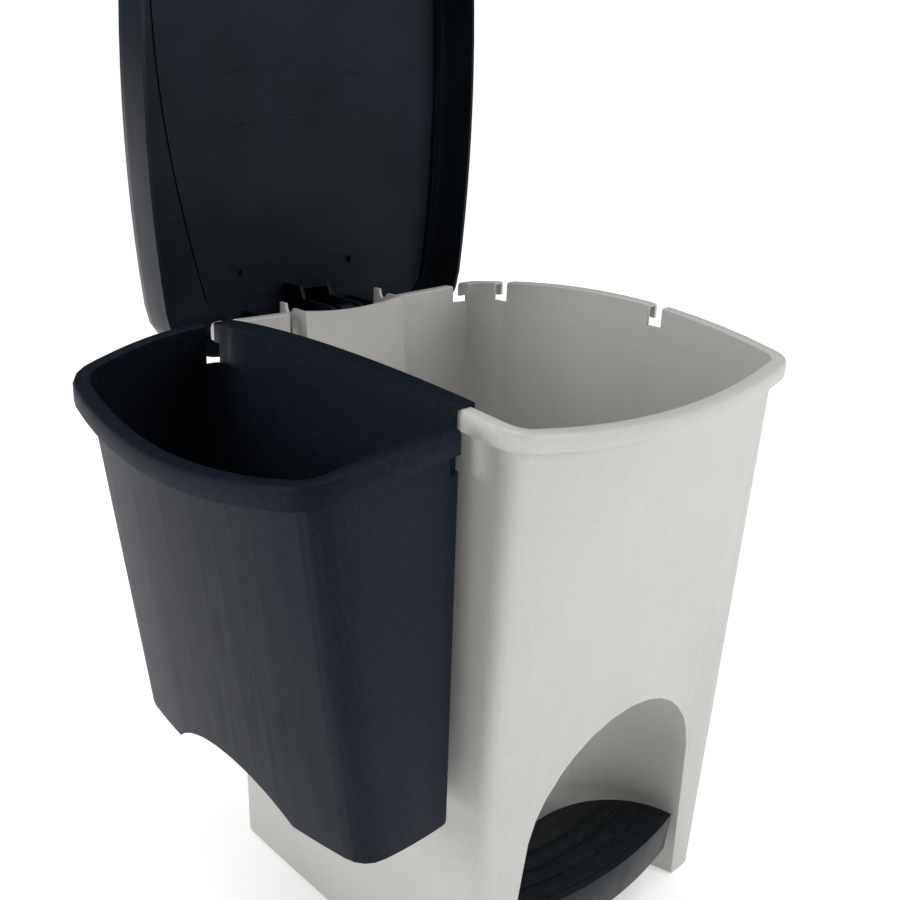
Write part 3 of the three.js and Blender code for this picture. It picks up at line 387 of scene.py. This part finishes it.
def moulded_plastic(name, tones, worn_tone, roughness, gloss, gloss_tint, grain_per_metre,
                    grain_depth, dust_reach=DUST_REACH):
    """A moulded plastic. Tones and roughness are pairs, worn_tone is that of worn peaks and floor
    dust, gloss is the strength of the reflection seen head on and gloss_tint its colour, and
    grain_depth is the strength of the bump."""
    material = bpy.data.materials.new(name)
    material.use_nodes = True
    tree = material.node_tree
    surface = tree.nodes["Principled BSDF"]
    coordinates = tree.nodes.new("ShaderNodeTexCoord")
    skin = use_group(tree, moulded_grain, coordinates, Grain_per_Metre=grain_per_metre)
    wiped = use_group(tree, wipe_marks, coordinates)
    dust = use_group(tree, floor_dust, coordinates, Reach=dust_reach)
    clean = mix_tones(tree, skin, "Mottle", *tones)
    on_peaks = combine(tree, "MULTIPLY", (skin, "Peaks"), (PEAK_WEAR,))
    worn = mix_tones(tree, on_peaks, 0, clean, worn_tone)
    near_floor = combine(tree, "MULTIPLY", (dust, "Mask"), (FLOOR_DUST,))
    dusted = mix_tones(tree, near_floor, 0, worn, worn_tone)
    tree.links.new(dusted.outputs[MIX_RESULT], surface.inputs["Base Color"])
    rough = remap(tree, wiped, "Mask", between=(0.0, 1.0), onto=roughness)
    tree.links.new(rough.outputs["Result"], surface.inputs["Roughness"])
    bump = add_node(tree, "ShaderNodeBump", [
        ("Height", skin, "Height"), ("Strength", grain_depth), ("Distance", GRAIN_RELIEF)])
    tree.links.new(bump.outputs["Normal"], surface.inputs["Normal"])
    surface.inputs["Metallic"].default_value = 0.0
    surface.inputs["Specular IOR Level"].default_value = gloss
    surface.inputs["Specular Tint"].default_value = (*gloss_tint, 1.0)
    return material


print("recipe: wear on the peaks", PEAK_WEAR, "and dust near the floor", FLOOR_DUST)

# %% [markdown]
# ### The bin's grey plastic
# The body is a warm pale grey with a satin skin. A pure neutral grey would look colder than the
# photograph, so both tones lose a little blue.

# %% Mix the grey plastic
grey_plastic = moulded_plastic(
    "warm_grey_plastic", tones=((0.525, 0.520, 0.498), (0.488, 0.482, 0.460)),
    worn_tone=(0.36, 0.34, 0.30), roughness=(0.42, 0.54), gloss=0.35, gloss_tint=WHITE_GLOSS,
    grain_per_metre=1500.0, grain_depth=0.22)
print("finish:", grey_plastic.name)

# %% [markdown]
# ### The bucket's slate plastic
# The bucket is a blue black. Most of what the eye reads as its colour is the white table mirrored
# in its walls, so the plastic itself is very dark, its gloss is weak and tinted blue, and its
# grain a little deeper than the lid's.

# %% Mix the bucket's plastic
bucket_plastic = moulded_plastic(
    "bucket_slate_plastic", tones=((0.0072, 0.0106, 0.0172), (0.0059, 0.0087, 0.0142)),
    worn_tone=(0.030, 0.031, 0.034), roughness=(0.42, 0.50), gloss=0.055, gloss_tint=BLUE_GLOSS,
    grain_per_metre=1300.0, grain_depth=0.26)
print("finish:", bucket_plastic.name)

# %% [markdown]
# ### The lid's slate plastic
# The lid has nearly the bucket's colour, but its mould was finer: a smaller, shallower grain and a
# smoother skin, so its inside shows clearer sheens. Its two tones lie further apart, which gives
# the broad clouds that a flat dark plate shows.

# %% Mix the lid's plastic
lid_plastic = moulded_plastic(
    "lid_slate_plastic", tones=((0.0080, 0.0128, 0.0182), (0.0036, 0.0056, 0.0084)),
    worn_tone=(0.034, 0.035, 0.037), roughness=(0.30, 0.42), gloss=0.13, gloss_tint=BLUE_GLOSS,
    grain_per_metre=1700.0, grain_depth=0.14)
print("finish:", lid_plastic.name)

# %% [markdown]
# ### The pedal's black plastic
# Shoes press on the tread, so its grain is coarser and deeper for grip, and it is nearly black.
# The lever under the floor and the rod's two ends are moulded from the same plastic.

# %% Mix the pedal's plastic
pedal_plastic = moulded_plastic(
    "pedal_black_plastic", tones=((0.0022, 0.0036, 0.0044), (0.0030, 0.0046, 0.0056)),
    worn_tone=(0.05, 0.048, 0.045), roughness=(0.40, 0.54), gloss=0.2, gloss_tint=BLUE_GLOSS,
    grain_per_metre=900.0, grain_depth=0.4)
print("finish:", pedal_plastic.name)

# %% [markdown]
# ### The rubber of the pads
# The foot pads are matt rubber. They touch the floor, so dust climbs only over their first
# centimetre, and rubber holds more of it than plastic does: its worn tone is much paler.

# %% Mix the rubber
PAD_DUST_REACH = 12 * MM

pad_rubber = moulded_plastic(
    "pad_rubber", tones=((0.02, 0.02, 0.02), (0.028, 0.027, 0.026)),
    worn_tone=(0.12, 0.11, 0.10), roughness=(0.75, 0.88), gloss=0.3, gloss_tint=WHITE_GLOSS,
    grain_per_metre=1100.0, grain_depth=0.4, dust_reach=PAD_DUST_REACH)
print("finish:", pad_rubber.name)

# %% [markdown]
# ## The steel
# The rod and pins are cold-drawn wire. Drawing leaves fine lines along the wire and a thin film of
# oil that varies a little. A brushed look could also come from anisotropic gloss, but real lines
# show close up as well. A noise stretched upright, along the rod, makes them. The pins share it,
# although they lie level, because little more than their ends can be seen.

# %% Build the drawn steel
LINE_SQUEEZE = (1.0, 1.0, 0.02)
LINES_PER_METRE = 1600.0
LINE_RELIEF = 0.2 * MM
LINE_DEPTH = 0.12
FILM_STREAKS_PER_METRE = 120.0
STEEL_TONES = ((0.42, 0.42, 0.43), (0.58, 0.58, 0.585))
STEEL_ROUGHNESS = (0.26, 0.42)


def drawn_steel():
    """Bare steel wire with fine lines along it and a thin film of oil."""
    material = bpy.data.materials.new("drawn_steel")
    material.use_nodes = True
    tree = material.node_tree
    surface = tree.nodes["Principled BSDF"]
    coordinates = tree.nodes.new("ShaderNodeTexCoord")
    along = add_node(tree, "ShaderNodeMapping", [
        ("Vector", coordinates, "Object"), ("Scale", LINE_SQUEEZE)])
    lines = add_node(tree, "ShaderNodeTexNoise", [
        ("Vector", along, "Vector"), ("Scale", LINES_PER_METRE), ("Detail", 3.0)])
    film = use_group(tree, wipe_marks, coordinates, Streaks_per_Metre=FILM_STREAKS_PER_METRE)
    tone = mix_tones(tree, lines, "Fac", *STEEL_TONES)
    tree.links.new(tone.outputs[MIX_RESULT], surface.inputs["Base Color"])
    rough = remap(tree, film, "Mask", between=(0.0, 1.0), onto=STEEL_ROUGHNESS)
    tree.links.new(rough.outputs["Result"], surface.inputs["Roughness"])
    bump = add_node(tree, "ShaderNodeBump", [
        ("Height", lines, "Fac"), ("Strength", LINE_DEPTH), ("Distance", LINE_RELIEF)])
    tree.links.new(bump.outputs["Normal"], surface.inputs["Normal"])
    surface.inputs["Metallic"].default_value = 1.0
    return material


steel = drawn_steel()
print("finish:", steel.name)

# %% [markdown]
# ## The table's surface
# White card: not quite white, without gloss, with a trace of unevenness. It glows a little, as a
# light table does. More light from the lamps would whiten it too, but would bleach the object.

# %% Finish the table
TABLE_GLOW = 0.38
CLOUDS_PER_METRE = 3.0
CARD_TONES = ((0.93, 0.93, 0.93), (0.95, 0.95, 0.95))
CARD_ROUGHNESS = 0.9

card = bpy.data.materials.new("white_card")
card.use_nodes = True
unevenness = add_node(card.node_tree, "ShaderNodeTexNoise", [("Scale", CLOUDS_PER_METRE)])
card_tone = mix_tones(card.node_tree, unevenness, "Fac", *CARD_TONES)
card_surface = card.node_tree.nodes["Principled BSDF"]
card.node_tree.links.new(card_tone.outputs[MIX_RESULT], card_surface.inputs["Base Color"])
card_surface.inputs["Roughness"].default_value = CARD_ROUGHNESS
card_surface.inputs["Specular IOR Level"].default_value = 0.0
card_surface.inputs["Emission Color"].default_value = (1, 1, 1, 1)
card_surface.inputs["Emission Strength"].default_value = TABLE_GLOW
table.data.materials.append(card)
print("table:", card.name, "glow", TABLE_GLOW)

# %% [markdown]
# ## Finishes for the solid pieces
# The pins, caps, pads and the rod with its two ends keep their solids, because pieces as small or
# as thin as these look the same either way. Each only needs the finish that its material slot
# names. The others get one here too, and keep it until a smooth shell takes their place.

# %% Give each solid its finish
FINISH_OF_SLOT = {
    "grey_shell": grey_plastic, "dark_shell": bucket_plastic, "pedal_black": pedal_plastic,
    "rubber": pad_rubber, "steel": steel,
}
slot_of_node = {part["node"]: part["material_slot"] for part in frame["record"]["subparts"]}
for node_name, solid in nodes.items():
    solid.data.materials.clear()
    solid.data.materials.append(FINISH_OF_SLOT[slot_of_node[node_name]])
print("finished solids:", len(nodes))

# %% [markdown]
# ## Smooth shells
# A solid model comes as loose triangles, and a swollen wall then shows its facets. The real walls
# are smooth, and even their crisp edges are rounded by half a millimetre, which catches a thin
# line of light. The walls could be modelled again from curves, but they would drift from the
# solids. So each of these solids is copied, its loose corners are merged, flat neighbours are
# joined, the sharp edges get a narrow bevel, and the rest is shaded smooth up to a chosen angle.

# %% Write the copying of a shell
MERGE_DISTANCE = 0.01 * MM
FLAT_ANGLE = math.radians(0.4)
CREASE_ANGLE = math.radians(32)
ROUNDING_STEPS = 2


def body_of(node_name):
    """The body that a solid rides on, as the record has it."""
    for body, members in frame["record"]["behaviour"]["bodies"].items():
        if node_name in members:
            return body
    raise KeyError(node_name)


def merge_loose_corners(piece, join_flats):
    """Joins the triangles of a copied solid and, where asked, the flat neighbours among them."""
    deselect_all()
    piece.select_set(True)
    bpy.context.view_layer.objects.active = piece
    if piece.data.has_custom_normals:
        bpy.ops.mesh.customdata_custom_splitnormals_clear()
    bpy.ops.object.mode_set(mode="EDIT")
    bpy.ops.mesh.select_all(action="SELECT")
    bpy.ops.mesh.remove_doubles(threshold=MERGE_DISTANCE)
    bpy.ops.mesh.dissolve_degenerate(threshold=MERGE_DISTANCE)
    if join_flats:
        bpy.ops.mesh.dissolve_limited(angle_limit=FLAT_ANGLE)
    bpy.ops.object.mode_set(mode="OBJECT")


def round_edges(piece, edge_width):
    """Bevels the edges that are sharper than a crease."""
    rounding = piece.modifiers.new("edge_round", "BEVEL")
    rounding.limit_method = "ANGLE"
    rounding.angle_limit = CREASE_ANGLE
    rounding.width = edge_width
    rounding.segments = ROUNDING_STEPS
    bpy.ops.object.modifier_apply(modifier=rounding.name)


def smooth_shell(node_name, piece_name, finish, edge_width):
    """A merged, smooth copy of a solid that takes its place; width 0 leaves its edges sharp."""
    piece = bpy.data.objects.new(piece_name, nodes[node_name].data.copy())
    bpy.context.scene.collection.objects.link(piece)
    merge_loose_corners(piece, join_flats=edge_width > 0)
    if edge_width > 0:
        round_edges(piece, edge_width)
    bpy.ops.object.shade_smooth_by_angle(angle=CREASE_ANGLE)
    piece.data.materials.clear()
    piece.data.materials.append(finish)
    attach(piece, body_of(node_name))
    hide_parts(node_name)
    print(piece_name, "triangles:", sum(len(p.vertices) - 2 for p in piece.data.polygons))


print("creases start at", round(math.degrees(CREASE_ANGLE)), "degrees")

# %% [markdown]
# ### The bin's body
# The tall grey tub with its turned lip, notched rim and domed niche. Its lip is what a hand
# grips, so its edges are the roundest.

# %% Smooth the bin's body
smooth_shell("body_shell", "bin_body", grey_plastic, edge_width=0.6 * MM)

# %% [markdown]
# ### The lid
# The shallow dark tray that stands upright behind the bin. Its wide, slightly domed plate is
# one thin skin of long triangles. Joining those and rounding the edges would spoil the shading of
# the plate, so the lid keeps its edges as they are.

# %% Smooth the lid
smooth_shell("lid_shell", "lid_tray", lid_plastic, edge_width=0)

# %% [markdown]
# ### The hung bucket
# The small dark tub on the left rim, with its hook, its lip and its arched underside.

# %% Smooth the bucket
smooth_shell("bucket_shell", "hung_bucket", bucket_plastic, edge_width=0.5 * MM)

# %% [markdown]
# ### The pedal
# The ridged tread in the niche, and the lever that carries it under the floor. Both are small
# mouldings with slightly sharper edges than the shells.

# %% Smooth the pedal's two pieces
smooth_shell("pedal_tread", "tread_plate", pedal_plastic, edge_width=0.4 * MM)
smooth_shell("pedal_lever", "tread_lever", pedal_plastic, edge_width=0.4 * MM)
